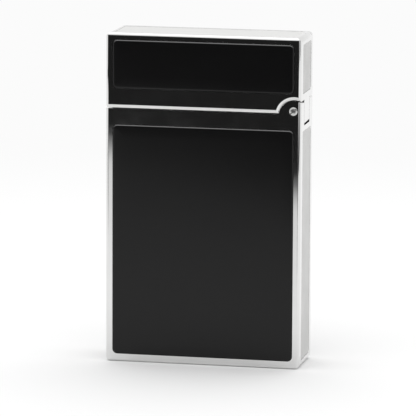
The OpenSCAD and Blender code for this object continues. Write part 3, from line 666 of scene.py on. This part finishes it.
CAMERA_YAW = 12.03
CAMERA_PITCH = 9.68
CAMERA_ROLL = 0.27
CAMERA_DISTANCE = 0.775
CAMERA_LENS = 364.7
CAMERA_SENSOR = 36
CAMERA_CLIP = (0.01, 50)
CAMERA_AIM = Vector((-0.00019, 0, 0.02832))

# Tones of the studio: the room behind and overhead, and the dim side in front
BACKGROUND_TONE = 0.965
ROOM_TONE = 0.95
TOP_TONE = 1.3
FRONT_TONE = 0.02
FRONT_HIGH = 0.9
# Heights of a direction between which the room and the dim side get lighter
TOP_RISE = (0.45, 0.85)
FRONT_RISE = (-0.02, 0.32)
# How far the dim side is turned to the right, and where it is full and where it ends
FRONT_TURN = 0.35
FRONT_SIDES = (-0.85, -0.55)

# The white sheet ends on a slanted line in front of the lighter. Towards that line its colour
# is painted a little darker: painted shade where the light falls off.
SHEET_SLANT = 0.984
SHEET_EDGE = (-0.202, -0.156)
SHEET_SHADE_FALL = (-0.156, -0.050)
SHEET_EDGE_SHARE = 0.80
FLOOR_TONE = 0.885
BEYOND_TONE = 0.013
# A second sheet lies to the right of the dark gap
SIDE_SHEET_SLANT = 0.1
SIDE_SHEET_EDGE = (0.0, 0.02)
# Where the floor starts and ends to melt into the white background
HORIZON = (0.04, 0.27)
FLOOR_HALF = 6.0

SOFTBOX_PLACE = (0, 0.12, 0.45)
SOFTBOX_AIM = (0, 0, 0.03)
SOFTBOX_SIZE = 0.35
SOFTBOX_POWER = 0.20


def studio_world():
    """White to the camera. Reflections see a bright room with a dim side in front."""
    world = bpy.data.worlds.new("studio")
    bpy.context.scene.world = world
    world.use_nodes = True
    g = Graph(world.node_tree)
    x, y, z = g.split(g.node("TexCoord").outputs["Generated"])
    top = g.span(z, *TOP_RISE, ROOM_TONE, TOP_TONE, smooth=True)
    rise = g.span(z, *FRONT_RISE, FRONT_TONE, FRONT_HIGH, smooth=True)
    toward = g.math("SUBTRACT", y, g.math("MULTIPLY", x, FRONT_TURN))
    facing = g.span(toward, *FRONT_SIDES, 1.0, 0.0, smooth=True)
    room = g.blend(facing, top, rise)
    strength = g.blend(g.node("LightPath").outputs["Is Camera Ray"], room, BACKGROUND_TONE)
    back = world.node_tree.nodes["Background"]
    back.inputs["Color"].default_value = (1, 1, 1, 1)
    g.feed(back.inputs["Strength"], strength)


def sheet_share(s):
    """1 where the white sheets lie on the floor and 0 in the gap between them."""
    x, y, _ = s.split(s.place)
    line = s.math("SUBTRACT", y, s.math("MULTIPLY", x, SHEET_SLANT))
    # The second span paints the sheet darker towards its edge, as painted shade
    near = s.math("ADD", s.span(line, *SHEET_EDGE, 0.0, SHEET_EDGE_SHARE, smooth=True),
                  s.span(line, *SHEET_SHADE_FALL, 0.0, 1.0 - SHEET_EDGE_SHARE))
    side_line = s.math("ADD", x, s.math("MULTIPLY", y, SIDE_SHEET_SLANT))
    return s.math("MAXIMUM", near, s.span(side_line, *SIDE_SHEET_EDGE, 0.0, 1.0))


def floor_material():
    """White sheets with a dark gap in reflections. The camera sees one pale floor."""
    s = Finish("pale_floor", Roughness=1.0, Specular_IOR_Level=0.0)
    seen = s.node("LightPath").outputs["Is Camera Ray"]
    tone = s.span(s.math("MAXIMUM", sheet_share(s), seen), 0.0, 1.0, BEYOND_TONE, FLOOR_TONE)
    grey = s.node("CombineColor")
    for socket in grey.inputs:
        s.feed(socket, tone)
    s.feed(s.surface.inputs["Base Color"], grey.outputs[0])
    glow = s.node("Emission")
    glow.inputs["Strength"].default_value = BACKGROUND_TONE
    radius = s.node("VectorMath", operation="LENGTH")
    s.feed(radius.inputs[0], s.place)
    far = s.span(radius.outputs["Value"], *HORIZON, 0.0, 1.0, smooth=True)
    blend = s.node("MixShader")
    parts = (s.math("MULTIPLY", seen, far), s.surface.outputs[0], glow.outputs[0])
    for socket, value in zip(blend.inputs, parts):
        s.feed(socket, value)
    s.feed(s.output.inputs["Surface"], blend.outputs[0])
    return s.material


def studio_floor():
    """A pale floor that melts into the white background and keeps the shadow."""
    mesh = bpy.data.meshes.new("studio_floor")
    z = CAD_BOX[0].z
    corners = ((-1, -1), (1, -1), (1, 1), (-1, 1))
    points = [(FLOOR_HALF * x, FLOOR_HALF * y, z) for x, y in corners]
    mesh.from_pydata(points, [], [(0, 1, 2, 3)])
    mesh.materials.append(floor_material())
    obj = bpy.data.objects.new("studio_floor", mesh)
    bpy.context.scene.collection.objects.link(obj)


def softbox():
    """A large soft lamp above and a little behind the lighter."""
    data = bpy.data.lights.new("softbox", "AREA")
    data.size = SOFTBOX_SIZE
    data.energy = SOFTBOX_POWER
    obj = bpy.data.objects.new("softbox", data)
    obj.location = SOFTBOX_PLACE
    aim = Vector(SOFTBOX_AIM) - Vector(SOFTBOX_PLACE)
    obj.rotation_euler = aim.to_track_quat("-Z", "Y").to_euler()
    bpy.context.scene.collection.objects.link(obj)


def camera():
    """A long lens at the viewing angle of the photograph."""
    data = bpy.data.cameras.new("camera")
    data.lens = CAMERA_LENS
    data.sensor_width = CAMERA_SENSOR
    data.clip_start, data.clip_end = CAMERA_CLIP
    obj = bpy.data.objects.new("camera", data)
    yaw, pitch = math.radians(CAMERA_YAW), math.radians(CAMERA_PITCH)
    level = math.cos(pitch)
    back = Vector((math.sin(yaw) * level, -math.cos(yaw) * level, math.sin(pitch)))
    obj.location = CAMERA_AIM + back * CAMERA_DISTANCE
    aim = (-back).to_track_quat("-Z", "Y").to_matrix()
    obj.rotation_euler = (aim @ Matrix.Rotation(math.radians(CAMERA_ROLL), 3, "Z")).to_euler()
    bpy.context.scene.collection.objects.link(obj)
    bpy.context.scene.camera = obj


camera()
studio_world()
studio_floor()
softbox()
bpy.context.scene.view_settings.view_transform = "Standard"
